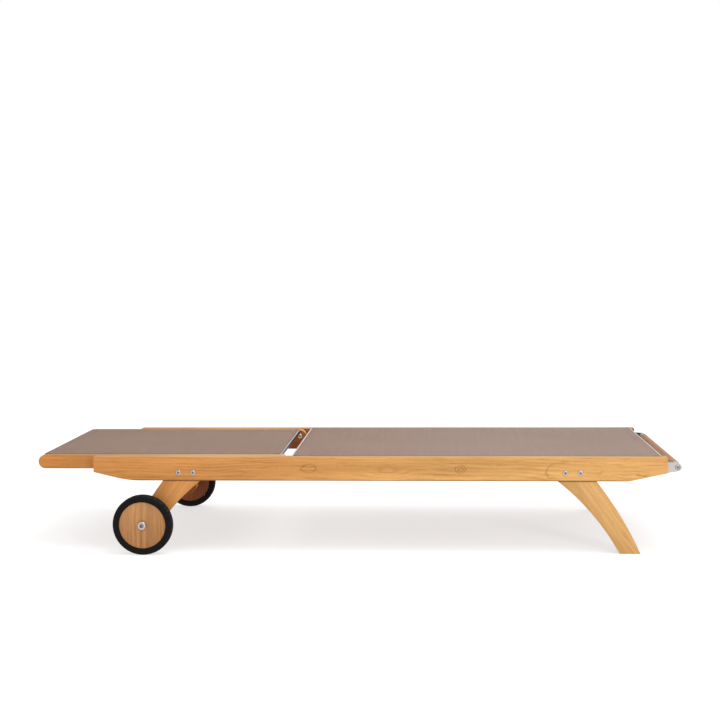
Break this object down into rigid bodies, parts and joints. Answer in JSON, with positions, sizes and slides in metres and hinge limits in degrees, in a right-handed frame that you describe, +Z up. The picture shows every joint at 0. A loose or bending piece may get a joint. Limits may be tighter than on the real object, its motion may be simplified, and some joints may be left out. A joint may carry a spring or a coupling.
{
  "type": "sun lounger",
  "caption": "Garden sun lounger: wooden side rails and curved legs, stretched mesh slings, hinged backrest on a prop strut, head-end wheels and a round carrying handle.",
  "frame": {"origin": "on the floor, under the middle of the lounger's length and width", "axes": "+X towards the foot end with the handle, +Y towards the left hand of someone lying on it face up, +Z up"},
  "size_m": [2, 0.74, 0.3004],
  "materials": {
    "teak": "oiled, satin",
    "sling_mesh": "woven coated yarn, matt",
    "aluminium": "satin, anodised",
    "stainless": "brushed",
    "tyre": "matt moulded rubber",
    "nylon": "matt"
  },
  "bodies": {
    "frame": {"side_rail_right": "teak", "side_rail_left": "teak", "foot_leg_right": "teak", "foot_leg_right_bolt_a": "stainless", "foot_leg_right_bolt_b": "stainless", "wheel_leg_right": "teak", "wheel_leg_right_bolt_a": "stainless", "wheel_leg_right_bolt_b": "stainless", "foot_leg_left": "teak", "foot_leg_left_bolt_a": "stainless", "foot_leg_left_bolt_b": "stainless", "wheel_leg_left": "teak", "wheel_leg_left_bolt_a": "stainless", "wheel_leg_left_bolt_b": "stainless", "head_stretcher": "teak", "rack_stretcher": "teak", "middle_stretcher": "teak", "foot_stretcher": "teak", "prop_rack_right": "teak", "prop_rack_left": "teak", "seat_bar_head": "aluminium", "seat_bar_foot": "aluminium", "sling_seat": "sling_mesh", "seat_keder_right": "nylon", "seat_keder_left": "nylon", "handle_bracket_right": "stainless", "handle_bracket_left": "stainless", "handle_screw_right": "stainless", "handle_screw_left": "stainless", "handle_bar": "teak", "axle": "stainless", "axle_cap_right": "stainless", "axle_cap_left": "stainless", "wheel_spacer_right": "stainless", "wheel_spacer_left": "stainless", "hinge_bolt_right": "stainless", "hinge_bolt_left": "stainless", "hinge_washer_right": "stainless", "hinge_washer_left": "stainless"},
    "backrest": {"backrest_rail_right": "teak", "backrest_rail_left": "teak", "backrest_bar_tip": "aluminium", "backrest_bar_hinge": "aluminium", "hinge_bush_right": "nylon", "hinge_bush_left": "nylon", "sling_backrest": "sling_mesh", "backrest_keder_right": "nylon", "backrest_keder_left": "nylon", "strut_pin_right": "stainless", "strut_pin_left": "stainless"},
    "strut": {"strut_arm_right": "aluminium", "strut_arm_left": "aluminium", "strut_tube": "aluminium"},
    "wheel_right": {"wheel_disc_right": "teak", "wheel_tyre_right": "tyre", "wheel_bush_right": "nylon"},
    "wheel_left": {"wheel_disc_left": "teak", "wheel_tyre_left": "tyre", "wheel_bush_left": "nylon"}
  },
  "joints": [
    {"name": "backrest_recline", "type": "hinge", "parent": "frame", "child": "backrest", "pos_m": [-0.23, 0, 0.277], "axis": [0, 1, 0], "range_deg": [0, 55]},
    {"name": "strut_swing", "type": "hinge", "parent": "backrest", "child": "strut", "pos_m": [-0.462, 0, 0.277], "axis": [0, 1, 0], "range_deg": [-110, 0]},
    {"name": "wheel_spin_right", "type": "hinge", "parent": "frame", "child": "wheel_right", "pos_m": [-0.65168, -0.349, 0.0932], "axis": [0, 1, 0], "continuous": true},
    {"name": "wheel_spin_left", "type": "hinge", "parent": "frame", "child": "wheel_left", "pos_m": [-0.65168, 0.349, 0.0932], "axis": [0, 1, 0], "continuous": true}
  ],
  "couplings": [
    {"joint": "strut_swing", "follows": "backrest_recline", "ratio": -2}
  ]
}
